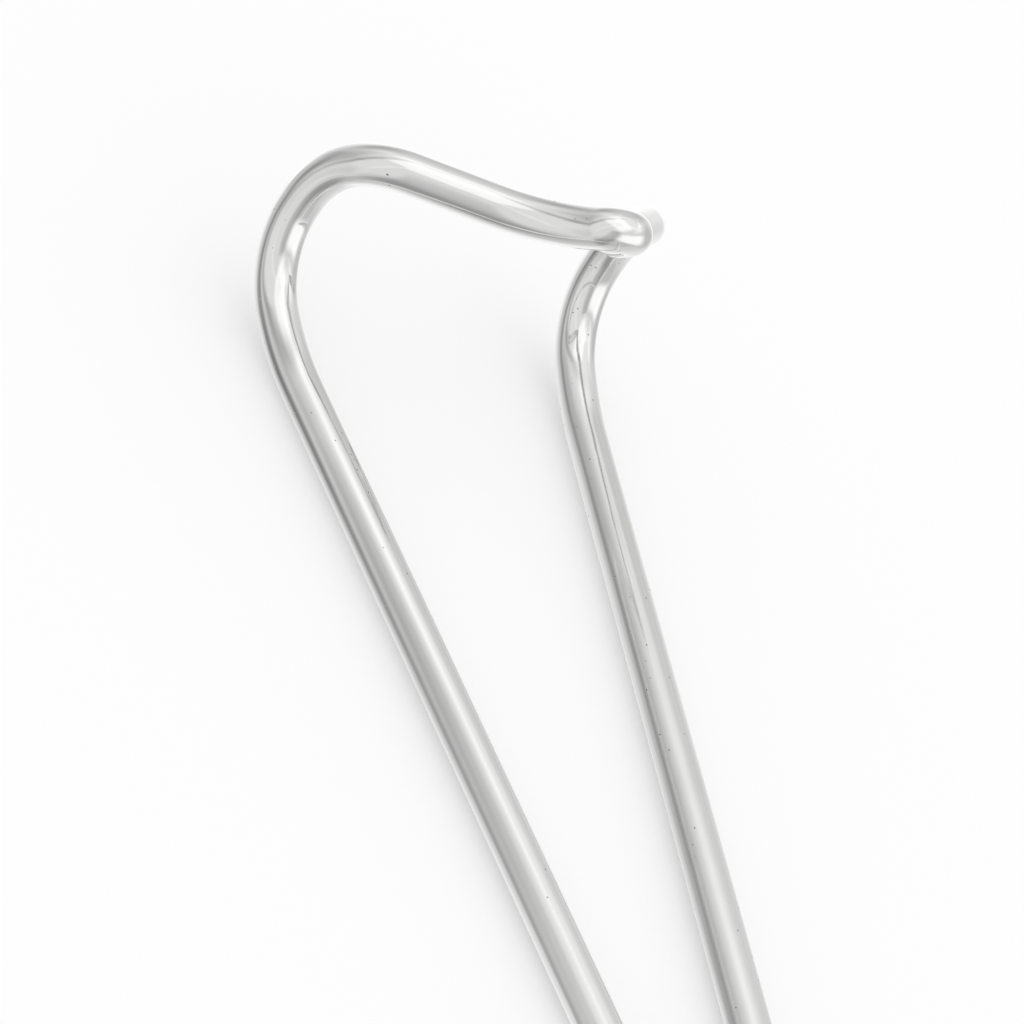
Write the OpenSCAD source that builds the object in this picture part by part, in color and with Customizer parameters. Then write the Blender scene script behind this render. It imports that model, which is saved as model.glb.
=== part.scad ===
// Knife guide and retractor: one round steel rod, bent into a loop.
// Two straight legs lie flat and close toward a plain round end bend.
// At the head both legs rise, lean back over the legs and meet in a narrow nose.
// The part lies on z = 0 with its legs along y and the bent head at +y.

/* [Rod] */

// Diameter of the rod
rod_d = 3; // [2.4:0.1:3.6]

/* [Overall] */

// Spacing of the rod's centre lines at the wide head
head_w = 28; // [23:0.5:34]

// Length from the front of the head bend's path to where the legs' lines would meet
leg_run = 112.9; // [96:0.1:136]

// Height of the nose's path above the legs' centre lines
nose_h = 23.4; // [20:0.1:28]

/* [Nose] */

// Bend radius of the nose, on the rod's centre line
nose_r = 2.3; // [2:0.1:3]

// Setback of the nose's path from the front of the head
nose_back = 14.7; // [12:0.1:18]

/* [Arms] */

// Spacing of the arms at the first bend behind the nose
neck_w = 7.2; // [6:0.1:9]

// Setback of that bend from the front of the head
neck_back = 9; // [8:0.1:11]

// Height of that bend above the legs
neck_h = 17.8; // [16.6:0.1:19]

// Radius of that bend
neck_r = 13; // [6:0.5:16]

// Spacing of the arms where they turn down
brow_w = 23.7; // [21:0.1:26]

// Setback of that turn from the front of the head
brow_back = 3.1; // [2.6:0.1:4]

// Height of that turn above the legs
brow_h = 14.8; // [13.4:0.1:16]

// Radius of that turn
brow_r = 5.6; // [3:0.1:7]

/* [Shoulders] */

// Spacing of the shoulders' upper bends
shoulder_w = 27.4; // [25:0.1:30]

// Height of the shoulders' upper bends above the legs
shoulder_h = 11.1; // [9:0.1:12]

// Radius of the shoulders' upper bends
shoulder_r = 7.2; // [4:0.1:9]

// Height of the heel bends' path above the legs
heel_h = 2.1; // [1.6:0.1:3]

// Radius of the heel bends
heel_r = 7.2; // [4:0.1:9]

// Spacing of the legs where they come flat
flat_w = 26.8; // [24:0.1:29]

// Setback of the point where the legs come flat
flat_back = 8.8; // [8:0.1:12]

// Radius of the easy bend where the legs come flat
flat_r = 22; // [10:0.5:26]

/* [End] */

// Bend radius of the closed end, on the rod's centre line
end_r = 3.6; // [3:0.1:4.4]

/* [Finish] */

// Colour the rod is drawn in
rod_tint = "silver"; // [silver, gainsboro, lightgrey]

/* [Hidden] */

rod_seg = 30;
bend_seg = 60;

// Each half's path as corner points, from the nose on the middle plane to where the legs' lines meet
path = [
    [0, -nose_back, nose_h],
    [neck_w / 2, -neck_back, neck_h],
    [brow_w / 2, -brow_back, brow_h],
    [shoulder_w / 2, 0, shoulder_h],
    [head_w / 2, -0.2, heel_h],
    [flat_w / 2, -flat_back, 0],
    [0, -leg_run, 0]
];
asked_r = [nose_r, neck_r, brow_r, shoulder_r, heel_r, flat_r, end_r];
last = len(path) - 1;

// Value kept to the number of decimals given
function cut_to(value, places) = round(value * pow(10, places)) / pow(10, places);

// Direction of a vector
function unit(v) = v / norm(v);

// Point or vector seen in the middle plane
function mirrored(v) = [-v[0], v[1], v[2]];

// Corner before and after a given one; past either end it is the other half's
function before(i) = i == 0 ? mirrored(path[1]) : path[i - 1];
function after(i) = i == last ? mirrored(path[last - 1]) : path[i + 1];

// Direction into and out of each corner, toward the end of the legs
way_in = [for (i = [0:last]) unit(path[i] - before(i))];
way_out = [for (i = [0:last]) unit(after(i) - path[i])];
turn = [for (i = [0:last]) acos(way_in[i] * way_out[i])];

// Length each bend takes from its two straights, and the share it can have of them
asked_t = [for (i = [0:last]) asked_r[i] * tan(turn[i] / 2)];
gap = [for (i = [0:last - 1]) norm(path[i + 1] - path[i])];
function room(i) = i < 0 || i > last - 1 ? 10 : gap[i] / (asked_t[i] + asked_t[i + 1]);
share = [for (i = [0:last]) min(1, 0.995 * room(i - 1), 0.995 * room(i))];
bend_r = [for (i = [0:last]) cut_to(asked_r[i] * share[i], 3)];
bend_t = [for (i = [0:last]) bend_r[i] * tan(turn[i] / 2)];
straight = [for (i = [0:last - 1]) cut_to(gap[i] - bend_t[i] - bend_t[i + 1], 3)];

// Value as it stands with six figures
function six(x) = x == 0 ? 0 : cut_to(x, 5 - floor(ln(abs(x)) / ln(10) + 1e-12));

// Nearest angle to a whose sine and cosine, held to six figures, still make a true unit at radius r
function held(a, r) =
    let (c = six(cos(a)), s = six(sin(a)))
    abs(sqrt(c * c + s * s) - 1) * max(r, rod_d) < 3e-8;
function settle(a, r, k = 0) =
    held(a + k * 1e-4, r) || k > 4000 ? a + k * 1e-4
    : held(a - k * 1e-4, r) ? a - k * 1e-4 : settle(a, r, k + 1);

// Half of the nose and of the end bend belongs to each half; both run a little past the middle plane
over = 4;
function half_turn(i) = i == 0 || i == last ? turn[i] / 2 + over : turn[i];
bend_a = [for (i = [0:last]) settle(half_turn(i), bend_r[i])];

// Side each bend leans to, met from the legs
lean = [for (i = [0:last]) unit(-way_in[i] + way_out[i] * (way_in[i] * way_out[i]))];

// Side the frame leans to once bend i is made, met from the legs
function carried(i) = lean[i] * cos(turn[i]) + way_out[i] * sin(turn[i]);

// Turn of the bend's plane about the rod
function roll_from(side, i) = atan2(cross(-way_out[i], side) * lean[i], side * lean[i]);
taper = atan2(path[last - 1][0], path[last - 1][1] - path[last][1]);
first_side = [-cos(taper), sin(taper), 0];
side_met = [for (i = [0:last - 1]) i == last - 1 ? first_side : carried(i + 1)];
roll = [for (i = [0:last - 1]) settle(roll_from(side_met[i], i), rod_d)];

// Furthest reach of the head along y, over points of every bend of one half
function on_bend(i, a) =
    let (start = path[i] + way_out[i] * bend_t[i])
    start + bend_r[i] * ((1 - cos(a)) * lean[i] - sin(a) * way_out[i]);
function along(i, a) = -way_out[i] * cos(a) + lean[i] * sin(a);
reach = [for (i = [0:last - 1]) for (k = [0:24])
    let (a = turn[i] * k / 24, ty = along(i, a)[1])
    on_bend(i, a)[1] + rod_d / 2 * sqrt(max(0, 1 - ty * ty))];
y_front = max(reach);
y_end = -leg_run + bend_r[last] / sin(taper) - bend_r[last] - rod_d / 2;
y_shift = -(y_front + y_end) / 2;

// Start of the bend where the leg comes flat, from which both directions are run
start = path[last - 1] + way_out[last - 1] * bend_t[last - 1];

// One bend from the origin, leaving along z and leaning toward -x
module bend(i) {
    side = 2 * (bend_r[i] + rod_d);
    translate([-bend_r[i], 0, 0])
        intersection() {
            rotate([90, 0, 0])
                rotate_extrude($fn = bend_seg)
                    translate([bend_r[i], 0]) circle(d = rod_d, $fn = rod_seg);
            translate([-side / 2, -side / 2, 0]) cube(side);
            rotate([0, -bend_a[i], 0])
                translate([-side / 2, -side / 2, -side]) cube(side);
        }
}

// Straight piece from the origin along z
module length_of_rod(len) {
    cylinder(d = rod_d, h = len, $fn = rod_seg);
}

// Frame moved to the far end of bend i
module past_bend(i) {
    translate([-bend_r[i], 0, 0])
        rotate([0, -bend_a[i], 0])
            translate([bend_r[i], 0, 0]) children();
}

// Bends and straights of the head, run from the leg to the nose
module head_run(i) {
    rotate([0, 0, roll[i]]) {
        bend(i);
        if (i > 0) {
            past_bend(i) {
                length_of_rod(straight[i - 1]);
                translate([0, 0, straight[i - 1]]) head_run(i - 1);
            }
        }
    }
}

// Leg and its half of the end bend
module leg_run_out() {
    length_of_rod(straight[last - 1]);
    translate([0, 0, straight[last - 1]]) bend(last);
}

// Half of the rod, ended on the middle plane
module half_rod() {
    intersection() {
        translate([cut_to(start[0], 3), cut_to(start[1] + y_shift, 3), rod_d / 2])
            rotate([0, 0, -taper]) {
                rotate([-90, 0, 0]) head_run(last - 1);
                rotate([90, 0, 0]) leg_run_out();
            }
        translate([0, -300, -50]) cube([100, 600, 150]);
    }
}

module bent_rod() {
    color(rod_tint) {
        half_rod();
        mirror([1, 0, 0]) half_rod();
    }
}

bent_rod();
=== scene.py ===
"""Looks of the knife guide and retractor: one polished steel rod, bent into a loop.

The rod is drawn along its straight lengths and turned through its bends one half at a
time, then mirrored, as the real one is bent from a single length. Its finish follows the
rod, so the marks of drawing and polishing run along it through every bend.
"""

import logging
import math
from dataclasses import dataclass

import bpy
import numpy as np
from mathutils import Matrix, Vector


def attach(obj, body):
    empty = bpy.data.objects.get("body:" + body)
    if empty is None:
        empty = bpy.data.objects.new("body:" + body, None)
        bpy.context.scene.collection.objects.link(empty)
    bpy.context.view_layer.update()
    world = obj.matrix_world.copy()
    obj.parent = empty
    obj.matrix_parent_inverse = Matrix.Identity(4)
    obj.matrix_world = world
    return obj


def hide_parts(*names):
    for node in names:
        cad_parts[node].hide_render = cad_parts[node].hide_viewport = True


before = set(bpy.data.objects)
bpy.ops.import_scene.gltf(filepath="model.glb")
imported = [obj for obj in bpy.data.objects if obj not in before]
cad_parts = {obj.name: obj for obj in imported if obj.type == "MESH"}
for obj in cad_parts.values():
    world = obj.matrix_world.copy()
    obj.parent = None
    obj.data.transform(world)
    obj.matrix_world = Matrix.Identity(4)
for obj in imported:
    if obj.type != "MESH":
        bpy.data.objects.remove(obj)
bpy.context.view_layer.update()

MM = 0.001
UNBENT = "unbent"
STEEL = "polished_steel"

Triple = tuple[float, float, float]

log = logging.getLogger("knife_guide")


class Socket:
    """One output of a shader node, or a plain number, with arithmetic that adds Math nodes."""

    def __init__(self, tree: "NodeSheet", value: object) -> None:
        """Wraps a value.

        Args:
            tree: The sheet that new nodes are added to.
            value: A node output or a number.
        """
        self.tree = tree
        self.value = value

    def _with(self, operation: str, first: object, second: object = None) -> "Socket":
        """Adds one Math node and returns its result."""
        return self.tree.node("ShaderNodeMath", {"operation": operation}, first, second)

    def __add__(self, other: object) -> "Socket":
        """Sum."""
        return self._with("ADD", self, other)

    def __radd__(self, other: object) -> "Socket":
        """Sum with a number on the left."""
        return self._with("ADD", other, self)

    def __sub__(self, other: object) -> "Socket":
        """Difference."""
        return self._with("SUBTRACT", self, other)

    def __rsub__(self, other: object) -> "Socket":
        """Difference with a number on the left."""
        return self._with("SUBTRACT", other, self)

    def __mul__(self, other: object) -> "Socket":
        """Product."""
        return self._with("MULTIPLY", self, other)

    def __rmul__(self, other: object) -> "Socket":
        """Product with a number on the left."""
        return self._with("MULTIPLY", other, self)

    def __pow__(self, other: object) -> "Socket":
        """Power."""
        return self._with("POWER", self, other)

    def absolute(self) -> "Socket":
        """Size without its sign."""
        return self._with("ABSOLUTE", self)

    def most(self, other: object) -> "Socket":
        """The greater of two values."""
        return self._with("MAXIMUM", self, other)

    def least(self, other: object) -> "Socket":
        """The lesser of two values."""
        return self._with("MINIMUM", self, other)

    def eased(self, start: float, end: float) -> "Socket":
        """Smooth step of this value.

        Args:
            start: Value at which the step is 0.
            end: Value at which the step is 1.

        Returns:
            A value from 0 to 1.
        """
        settings = {"interpolation_type": "SMOOTHSTEP"}
        return self.tree.node("ShaderNodeMapRange", settings, self, start, end, 0.0, 1.0)


class NodeSheet:
    """The nodes of one material or of the world."""

    def __init__(self, tree: bpy.types.NodeTree) -> None:
        """Clears the tree and keeps it.

        Args:
            tree: The node tree to fill.
        """
        self.tree = tree
        tree.nodes.clear()

    def node(self, kind: str, settings: dict[str, object] | None = None, *values: object,
             output: object = 0, **named: object) -> Socket:
        """Adds a node, sets it up and feeds its sockets.

        Args:
            kind: The node's type.
            settings: Its own settings, set before its sockets.
            values: Values or links for its first sockets, in order; None leaves one alone.
            output: Number or name of the output that is returned.
            named: Values or links by socket name, with _ for a space.

        Returns:
            The chosen output, or the node itself wrapped if it has none.
        """
        made = self.tree.nodes.new(kind)
        for name, value in (settings or {}).items():
            setattr(made, name, value)
        for socket, value in zip(made.inputs, values):
            self._feed(socket, value)
        for name, value in named.items():
            self._feed(made.inputs[name.replace("_", " ")], value)
        return Socket(self, made.outputs[output] if len(made.outputs) else made)

    def _feed(self, socket: bpy.types.NodeSocket, value: object) -> None:
        """Links or sets one input."""
        if value is None:
            return
        if isinstance(value, Socket):
            value = value.value
        if isinstance(value, bpy.types.NodeSocket):
            self.tree.links.new(value, socket)
        else:
            socket.default_value = value

    def vector(self, operation: str, *values: object, output: object = 0) -> Socket:
        """Adds one Vector Math node and returns its result."""
        settings = {"operation": operation}
        return self.node("ShaderNodeVectorMath", settings, *values, output=output)

    def blend(self, factor: object, first: object, second: object) -> Socket:
        """Mixes two colours by a factor from 0 to 1."""
        made = self.tree.nodes.new("ShaderNodeMix")
        made.data_type = "RGBA"
        for number, value in ((0, factor), (6, first), (7, second)):
            self._feed(made.inputs[number], value)
        return Socket(self, made.outputs[2])


@dataclass(frozen=True)
class Grain:
    """One noise in the steel. A stretch below 1 draws it out along the rod."""

    scale: float
    detail: float
    roughness: float
    stretch: float = 1.0


@dataclass(frozen=True)
class PolishedSteel:
    """Finish of the rod: steel polished at the head, and softer along the legs."""

    colour: Triple = (0.79, 0.79, 0.785)
    worn_colour: Triple = (0.71, 0.705, 0.69)
    pit_colour: Triple = (0.16, 0.155, 0.15)
    head_roughness: float = 0.08
    leg_roughness: float = 0.20
    least_roughness: float = 0.03
    pit_roughness: float = 0.35
    soft_from: float = 0.040
    soft_to: float = 0.075
    lines: Grain = Grain(5200.0, 3.0, 0.6, 0.035)
    broad_lines: Grain = Grain(1500.0, 2.0, 0.5, 0.035)
    ripple: Grain = Grain(300.0, 1.0, 0.4, 0.3)
    smudge: Grain = Grain(210.0, 4.0, 0.6)
    haze: Grain = Grain(60.0, 2.0, 0.5)
    line_height: float = 0.000004
    ripple_height: float = 0.000014
    pit_depth: float = 0.00002
    pit_scale: float = 1400.0
    pit_edge: tuple[float, float] = (0.03, 0.13)
    pit_chance: tuple[float, float] = (0.76, 0.8)
    smudge_spread: float = 0.05
    haze_spread: float = 0.05
    line_spread: float = 0.06
    smudge_worn: tuple[float, float] = (0.5, 0.75)
    smudge_share: float = 0.5
    line_worn: tuple[float, float] = (0.55, 0.8)
    line_share: float = 0.35
    wear: float = 0.45

    def material(self) -> bpy.types.Material:
        """Makes the material.

        Returns:
            A material that reads the rod's unbent coordinates, in metres.
        """
        made = bpy.data.materials.new(STEEL)
        made.use_nodes = True
        sheet = NodeSheet(made.node_tree)
        along = sheet.node("ShaderNodeAttribute", {"attribute_name": UNBENT}, output="Vector")
        here = sheet.node("ShaderNodeTexCoord", output="Object")
        length = sheet.node("ShaderNodeSeparateXYZ", None, along, output="Z").absolute()

        lines = self._noise(sheet, along, self.lines)
        broad = self._noise(sheet, along, self.broad_lines)
        ripple = self._noise(sheet, along, self.ripple)
        smudge = self._noise(sheet, here, self.smudge)
        haze = self._noise(sheet, here, self.haze)
        pits = self._pits(sheet, along)

        soft = length.eased(self.soft_from, self.soft_to)
        rough = self.head_roughness + soft * (self.leg_roughness - self.head_roughness)
        rough = rough + (smudge - 0.5) * self.smudge_spread + (haze - 0.5) * self.haze_spread
        rough = rough + (broad - 0.5) * self.line_spread + pits * self.pit_roughness

        worn = (smudge.eased(*self.smudge_worn) * self.smudge_share
                + broad.eased(*self.line_worn) * self.line_share).least(1.0)
        steel = sheet.blend(worn * self.wear, (*self.colour, 1.0), (*self.worn_colour, 1.0))
        colour = sheet.blend(pits, steel, (*self.pit_colour, 1.0))

        height = (lines * self.line_height + ripple * self.ripple_height
                  - pits * self.pit_depth)
        bump = sheet.node("ShaderNodeBump", None, Strength=1.0, Distance=1.0, Height=height)
        shader = sheet.node("ShaderNodeBsdfPrincipled", None, Base_Color=colour, Metallic=1.0,
                            Roughness=rough.most(self.least_roughness), Normal=bump)
        sheet.node("ShaderNodeOutputMaterial", None, Surface=shader)
        return made

    def _noise(self, sheet: NodeSheet, place: Socket, grain: Grain) -> Socket:
        """Adds one noise.

        Args:
            sheet: The material's nodes.
            place: Coordinates in metres, with Z along the rod where the grain is stretched.
            grain: The noise's sizes.

        Returns:
            A value from 0 to 1.
        """
        if grain.stretch != 1.0:
            place = sheet.vector("MULTIPLY", place, (1.0, 1.0, grain.stretch))
        return sheet.node("ShaderNodeTexNoise", None, Vector=place, Scale=grain.scale,
                          Detail=grain.detail, Roughness=grain.roughness)

    def _pits(self, sheet: NodeSheet, along: Socket) -> Socket:
        """Mask of the small pits left in the polish.

        Args:
            sheet: The material's nodes.
            along: The rod's unbent coordinates.

        Returns:
            1 in a pit and 0 elsewhere.
        """
        def cells(output: str) -> Socket:
            """One output of the cells that may hold a pit."""
            return sheet.node("ShaderNodeTexVoronoi", {"feature": "F1"}, Vector=along,
                              Scale=self.pit_scale, output=output)

        chosen = sheet.node("ShaderNodeSeparateColor", None, cells("Color"), output="Red")
        return (1.0 - cells("Distance").eased(*self.pit_edge)) * chosen.eased(*self.pit_chance)


@dataclass(frozen=True)
class Bend:
    """One bend of the rod's centre line, worked out in metres."""

    start: Vector
    centre: Vector
    axis: Vector
    angle: float
    end: Vector


@dataclass(frozen=True)
class Station:
    """One section across the rod."""

    place: Vector
    ahead: Vector
    side: Vector
    run: float


@dataclass
class BentRod:
    """The whole rod, in millimetres and degrees. Its corners run from the nose to the end.

    Where two neighbouring bends ask for more than kept_share of the length between them,
    both are made tighter.
    """

    diameter: float = 3.0
    corners: tuple[Triple, ...] = (
        (0.0, -14.1, 23.46),
        (2.6, -9.02, 17.22),
        (12.08, -2.68, 13.72),
        (13.64, 0.0, 9.93),
        (13.99, -1.4, 2.03),
        (13.4, -8.8, 0.0),
        (0.0, -112.9, 0.0),
    )
    radii: tuple[float, ...] = (1.54, 13.47, 5.26, 6.68, 7.2, 22.0, 3.6)
    forward: float = 44.1828
    kept_share: float = 0.995
    join: float = 0.01
    doubles: float = 0.001
    sides: int = 64
    step: float = 2.5
    fewest_steps: int = 4
    longest_run: float = 4.0
    finish: PolishedSteel = PolishedSteel()

    def build(self) -> bpy.types.Object:
        """Models the rod, writes its unbent coordinates and dresses it.

        Returns:
            The finished piece, in place of the CAD rod.
        """
        half = self._half_path()
        piece = self._swept(half)
        self._mirror(piece)
        self._write_unbent(piece, self._stations(half))
        piece.data.materials.clear()
        piece.data.materials.append(self.finish.material())
        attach(piece, "root")
        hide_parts("bent_rod")
        return piece

    def _point(self, corner: Triple) -> Vector:
        """A corner of the path in the part's own frame, in metres."""
        x, y, z = corner
        return Vector((x, y + self.forward, z + self.diameter / 2)) * MM

    def _half_path(self) -> list[Bend]:
        """Rounds every corner of one half.

        Returns:
            The bends from the closed end to the nose, each as it is met on that way.
        """
        points = [self._point(c) for c in self.corners]
        opposite = Vector((-1.0, 1.0, 1.0))
        whole = [points[1] * opposite, *points, points[-2] * opposite]
        ways = [(b - a).normalized() for a, b in zip(whole, whole[1:])]
        turns = [a.angle(b) for a, b in zip(ways, ways[1:])]
        asked = [r * MM * math.tan(t / 2) for r, t in zip(self.radii, turns)]
        gaps = [(b - a).length for a, b in zip(points, points[1:])]
        last = len(points) - 1
        bends = []
        for i, corner in enumerate(points):
            share = 1.0
            if i > 0:
                share = min(share, self.kept_share * gaps[i - 1] / (asked[i - 1] + asked[i]))
            if i < last:
                share = min(share, self.kept_share * gaps[i] / (asked[i] + asked[i + 1]))
            radius, setback = self.radii[i] * MM * share, asked[i] * share
            come, leave = -ways[i + 1], -ways[i]
            start, end = corner - come * setback, corner + leave * setback
            axis = come.cross(leave).normalized()
            centre = start + axis.cross(come) * radius
            angle = turns[i]
            if i == last:
                middle = centre + Matrix.Rotation(angle / 2, 3, axis) @ (start - centre)
                start, angle = middle, angle / 2
            if i == 0:
                angle = angle / 2
                end = centre + Matrix.Rotation(angle, 3, axis) @ (start - centre)
            bends.append(Bend(start, centre, axis, angle, end))
        return bends[::-1]

    def _steps(self, bend: Bend) -> int:
        """Sections that a bend is given."""
        return max(self.fewest_steps, round(math.degrees(bend.angle) / self.step))

    def _runs(self, way: Vector) -> int:
        """Sections that a straight length is given."""
        return max(1, math.ceil(way.length / (self.longest_run * MM)))

    def _swept(self, bends: list[Bend]) -> bpy.types.Object:
        """Draws the round section along one half of the path.

        Args:
            bends: The half's bends, from the closed end to the nose.

        Returns:
            A tube that is open on the middle plane at both its ends.
        """
        bpy.ops.object.select_all(action="DESELECT")
        bpy.ops.mesh.primitive_circle_add(
            vertices=self.sides, radius=self.diameter / 2 * MM, fill_type="NOTHING",
            location=bends[0].start, rotation=(0.0, math.pi / 2, 0.0))
        piece = bpy.context.object
        piece.name = piece.data.name = "steel_rod"
        bpy.ops.object.transform_apply(location=True, rotation=True, scale=True)
        bpy.ops.object.mode_set(mode="EDIT")
        bpy.ops.mesh.select_all(action="SELECT")
        for bend, following in zip(bends, [*bends[1:], None]):
            bpy.ops.mesh.spin(steps=self._steps(bend), angle=-bend.angle,
                              center=bend.centre, axis=bend.axis)
            if following:
                self._draw_straight(following.start - bend.end)
        bpy.ops.object.mode_set(mode="OBJECT")
        return piece

    def _draw_straight(self, way: Vector) -> None:
        """Extrudes the selected section along a straight length.

        Args:
            way: The whole straight length, as a vector.
        """
        runs = self._runs(way)
        for _ in range(runs):
            bpy.ops.mesh.extrude_region_move(TRANSFORM_OT_translate={"value": way / runs})

    def _mirror(self, piece: bpy.types.Object) -> None:
        """Mirrors the half in the middle plane, joins the halves and smooths the surface."""
        mirror = piece.modifiers.new("other_half", "MIRROR")
        mirror.use_axis = (True, False, False)
        mirror.use_clip = True
        mirror.merge_threshold = self.join * MM
        bpy.ops.object.modifier_apply(modifier=mirror.name)
        bpy.ops.object.mode_set(mode="EDIT")
        bpy.ops.mesh.select_all(action="SELECT")
        bpy.ops.mesh.remove_doubles(threshold=self.doubles * MM)
        bpy.ops.mesh.normals_make_consistent(inside=False)
        bpy.ops.object.mode_set(mode="OBJECT")
        bpy.ops.object.shade_smooth()

    def _stations(self, bends: list[Bend]) -> list[Station]:
        """Sections of the right half, with a side that turns as the rod does.

        Args:
            bends: The half's bends, from the closed end to the nose.

        Returns:
            The sections from the nose to the closed end.
        """
        places: list[tuple[Vector, Vector, float]] = []
        run = 0.0
        for bend, following in zip(bends, [*bends[1:], None]):
            steps = self._steps(bend)
            arm = bend.start - bend.centre
            radius = arm.length
            for k in range(steps + 1):
                spun = Matrix.Rotation(bend.angle * k / steps, 3, bend.axis) @ arm
                ahead = bend.axis.cross(spun).normalized()
                places.append((bend.centre + spun, ahead, run + radius * bend.angle * k / steps))
            run += radius * bend.angle
            if following:
                way = following.start - bend.end
                runs = self._runs(way)
                for k in range(1, runs):
                    places.append((bend.end + way * k / runs, way.normalized(),
                                   run + way.length * k / runs))
                run += way.length
        side = Vector((0.0, 0.0, 1.0))
        stations = []
        for place, ahead, at in reversed(places):
            side = (side - ahead * side.dot(ahead)).normalized()
            stations.append(Station(place, ahead, side, run - at))
        return stations

    def _write_unbent(self, piece: bpy.types.Object, stations: list[Station]) -> None:
        """Writes where each point would be on the rod before it was bent.

        Args:
            piece: The rod's piece.
            stations: Sections of the right half; the left half's mirror them.
        """
        mesh = piece.data
        points = np.empty(len(mesh.vertices) * 3, np.float32)
        mesh.vertices.foreach_get("co", points)
        points = points.reshape(-1, 3).astype(float)
        hand = np.where(points[:, 0] < 0, -1.0, 1.0)
        points[:, 0] = np.abs(points[:, 0])
        place = np.array([s.place for s in stations])
        ahead = np.array([s.ahead for s in stations])
        side = np.array([s.side for s in stations])
        run = np.array([s.run for s in stations])
        reach = points[:, None, :] - place[None, :, :]
        off_plane = np.abs((reach * ahead).sum(2))
        off_round = np.abs(np.linalg.norm(reach, axis=2) - self.diameter / 2 * MM)
        nearest = (off_plane + off_round).argmin(1)
        spoke = reach[np.arange(len(points)), nearest]
        across = (spoke * side[nearest]).sum(1)
        beside = (spoke * np.cross(ahead, side)[nearest]).sum(1)
        unbent = np.stack([across, beside, run[nearest] * hand], axis=1).astype(np.float32)
        attribute = mesh.attributes.new(UNBENT, "FLOAT_VECTOR", "POINT")
        attribute.data.foreach_set("vector", unbent.ravel())


@dataclass(frozen=True)
class Softbox:
    """A soft panel of the studio, far off, that only the polish shows.

    A negative level is a dark flag. The sizes are shares of the distance, and turned is in
    degrees.
    """

    toward: Triple
    half_wide: float
    half_high: float
    turned: float
    level: float
    soft: float


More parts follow.
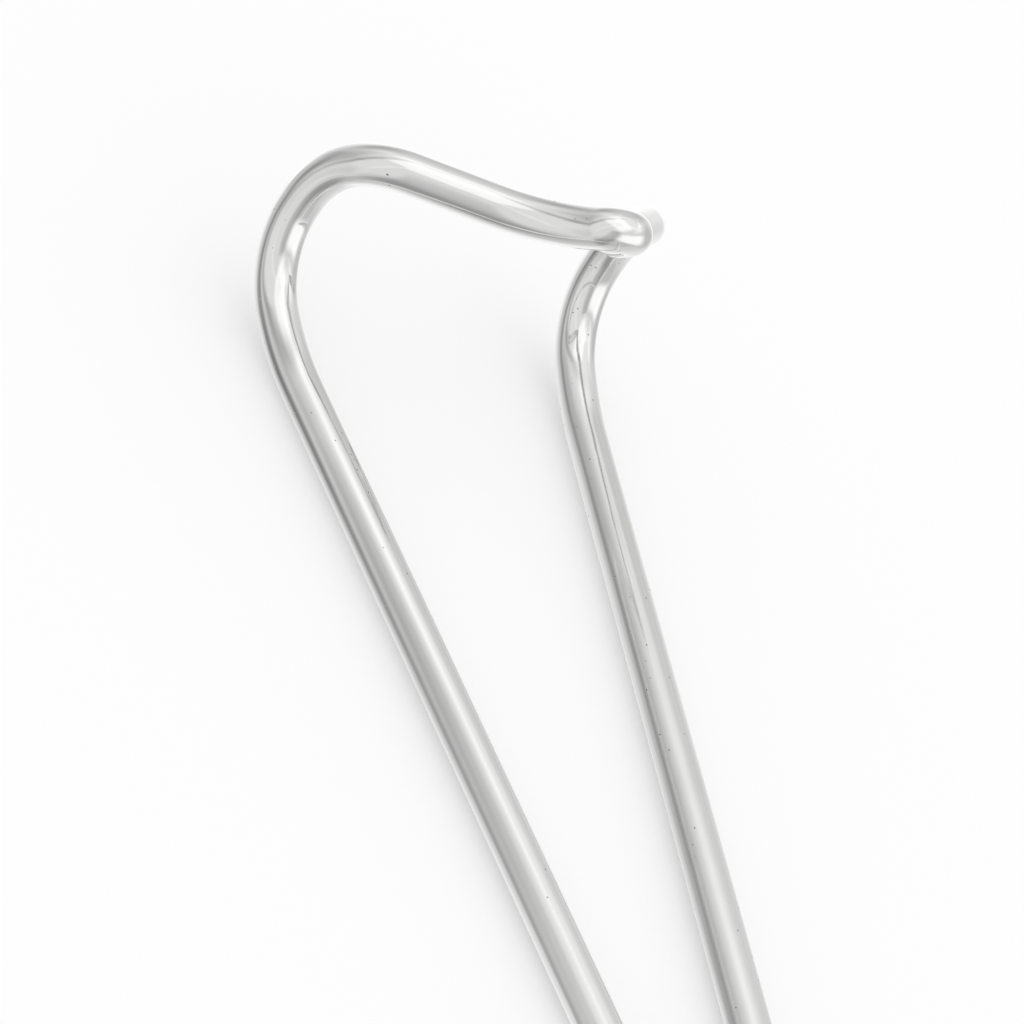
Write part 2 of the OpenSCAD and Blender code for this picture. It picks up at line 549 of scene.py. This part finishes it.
@dataclass(frozen=True)
class Studio:
    """A pale floor, plain soft light, and the panels around the table."""

    floor_shade: float = 0.62
    floor_glow: float = 0.365
    floor_size: float = 6.0
    floor_drop: float = 0.00002
    fill: float = 1.0
    white: tuple[float, ...] = (1.0, 1.0, 1.0, 1.0)
    surround: float = 0.865
    lamp_power: float = 0.1
    lamp_size: float = 1.2
    lamp_place: Triple = (-0.25, -0.2, 1.1)
    squareness: float = 4.0
    edge_spread: float = 2.3
    facing_ease: float = 0.02
    panels: tuple[Softbox, ...] = (
        Softbox((-0.183, 0.236, -0.954), 0.30, 0.38, 333.9, 0.40, 0.19),
        Softbox((-0.281, -0.176, 0.943), 0.60, 0.38, 353.9, 0.29, 0.11),
        Softbox((0.346, 0.786, 0.512), 0.50, 0.46, 11.9, -0.62, 0.19),
        Softbox((-0.867, -0.074, 0.493), 0.88, 0.28, 90.2, 0.35, 0.12),
        Softbox((0.295, -0.087, 0.951), 0.60, 0.50, 159.6, -0.11, 0.03),
        Softbox((-0.300, 0.781, -0.548), 0.40, 0.30, 31.8, 0.66, 0.19),
        Softbox((-0.784, 0.026, 0.620), 0.34, 1.08, 3.0, -0.32, 0.08),
        Softbox((0.359, 0.262, 0.896), 0.56, 0.67, 57.8, 0.46, 0.19),
        Softbox((-0.188, -0.520, -0.833), 1.13, 0.25, 96.4, -0.26, 0.19),
        Softbox((0.540, 0.681, -0.495), 0.94, 0.51, 47.4, 0.30, 0.15),
        Softbox((0.689, -0.674, -0.267), 0.76, 0.90, 93.3, -0.23, 0.05),
        Softbox((-0.494, 0.862, -0.117), 0.56, 0.54, 55.1, -0.32, 0.17),
        Softbox((0.464, -0.872, 0.159), 0.59, 0.33, 353.1, 0.59, 0.14),
        Softbox((-0.410, 0.658, -0.632), 0.45, 0.44, 46.5, -0.55, 0.17),
    )

    def build(self) -> None:
        """Makes the floor, the world and the lamp."""
        self._floor()
        self._world()
        self._lamp()

    def _floor(self) -> None:
        """A plain pale floor just under the rod, with a little glow of its own."""
        bpy.ops.object.select_all(action="DESELECT")
        bpy.ops.mesh.primitive_plane_add(size=self.floor_size,
                                         location=(0.0, 0.0, -self.floor_drop))
        floor = bpy.context.object
        floor.name = "floor"
        made = bpy.data.materials.new("pale_floor")
        made.use_nodes = True
        sheet = NodeSheet(made.node_tree)
        shade = (self.floor_shade,) * 3 + (1.0,)
        shader = sheet.node("ShaderNodeBsdfPrincipled", None, Base_Color=shade, Roughness=1.0,
                            Specular_IOR_Level=0.0, Emission_Color=self.white,
                            Emission_Strength=self.floor_glow)
        sheet.node("ShaderNodeOutputMaterial", None, Surface=shader)
        floor.data.materials.append(made)
        floor.visible_glossy = False

    def _world(self) -> None:
        """White all round to the eye, plain light for matt surfaces, panels for the polish."""
        world = bpy.data.worlds.new("studio")
        world.use_nodes = True
        bpy.context.scene.world = world
        sheet = NodeSheet(world.node_tree)
        way = sheet.node("ShaderNodeTexCoord", output="Generated")
        polish = sheet.node("ShaderNodeLightPath", output="Is Glossy Ray")
        around: Socket | float = self.surround
        for panel in self.panels:
            around = self._panel(sheet, way, panel) * panel.level + around
        plain = sheet.node("ShaderNodeBackground", Strength=self.fill, Color=self.white)
        shown = sheet.node("ShaderNodeBackground", Strength=around.most(0.0), Color=self.white)
        chosen = sheet.node("ShaderNodeMixShader", None, polish, plain, shown)
        sheet.node("ShaderNodeOutputWorld", None, Surface=chosen)

    def _panel(self, sheet: NodeSheet, way: Socket, panel: Softbox) -> Socket:
        """Mask of one panel over all directions.

        Args:
            sheet: The world's nodes.
            way: The direction looked in.
            panel: The panel.

        Returns:
            1 within the panel and 0 well outside it.
        """
        ahead = Vector(panel.toward).normalized()
        level = Vector((0.0, 0.0, 1.0)).cross(ahead).normalized()
        rise = ahead.cross(level)
        turn = math.radians(panel.turned)
        wide = level * math.cos(turn) + rise * math.sin(turn)
        high = rise * math.cos(turn) - level * math.sin(turn)
        across = sheet.vector("DOT_PRODUCT", way, tuple(wide / panel.half_wide), output="Value")
        upward = sheet.vector("DOT_PRODUCT", way, tuple(high / panel.half_high), output="Value")
        facing = sheet.vector("DOT_PRODUCT", way, tuple(ahead), output="Value")
        power = self.squareness
        off = (across.absolute() ** power + upward.absolute() ** power) ** (1.0 / power)
        spread = self.edge_spread * panel.soft
        inside = 1.0 - off.eased(1.0 - spread, 1.0 + spread)
        return inside * facing.eased(0.0, self.facing_ease)

    def _lamp(self) -> None:
        """One large lamp overhead, which gives the floor its faint shadow."""
        data = bpy.data.lights.new("overhead", "AREA")
        data.shape, data.size, data.energy = "DISK", self.lamp_size, self.lamp_power
        lamp = bpy.data.objects.new("overhead", data)
        lamp.location = self.lamp_place
        lamp.rotation_euler = (-lamp.location).to_track_quat("-Z", "Y").to_euler()
        lamp.visible_glossy = False
        bpy.context.scene.collection.objects.link(lamp)


@dataclass(frozen=True)
class ViewingCamera:
    """The camera, at the photograph's viewing angle."""

    place: Triple = (-0.15905, -0.10948, 0.15063)
    back: Triple = (-0.6281, -0.51925, 0.57953)
    upward: Triple = (-0.12091, 0.80086, 0.58652)
    lens: float = 128.542
    sensor: float = 36.0
    nearest: float = 0.01
    farthest: float = 20.0

    def build(self) -> bpy.types.Object:
        """Makes the camera and sets it as the scene's.

        Returns:
            The camera.
        """
        data = bpy.data.cameras.new("viewing_camera")
        data.lens, data.sensor_width = self.lens, self.sensor
        data.clip_start, data.clip_end = self.nearest, self.farthest
        camera = bpy.data.objects.new("viewing_camera", data)
        back = Vector(self.back).normalized()
        right = Vector(self.upward).cross(back).normalized()
        up = back.cross(right)
        turned = Matrix((right, up, back)).transposed().to_4x4()
        camera.matrix_world = Matrix.Translation(self.place) @ turned
        bpy.context.scene.collection.objects.link(camera)
        bpy.context.scene.camera = camera
        return camera


def main() -> None:
    """Builds the camera, the studio and the rod, and reports each."""
    logging.basicConfig(level=logging.INFO, format="%(name)s: %(message)s")
    bpy.context.scene.view_settings.view_transform = "Standard"
    ViewingCamera().build()
    log.info("camera placed")
    Studio().build()
    log.info("studio lit")
    rod = BentRod().build()
    log.info("%s: %d faces", rod.name, len(rod.data.polygons))


if __name__ == "__main__":
    main()
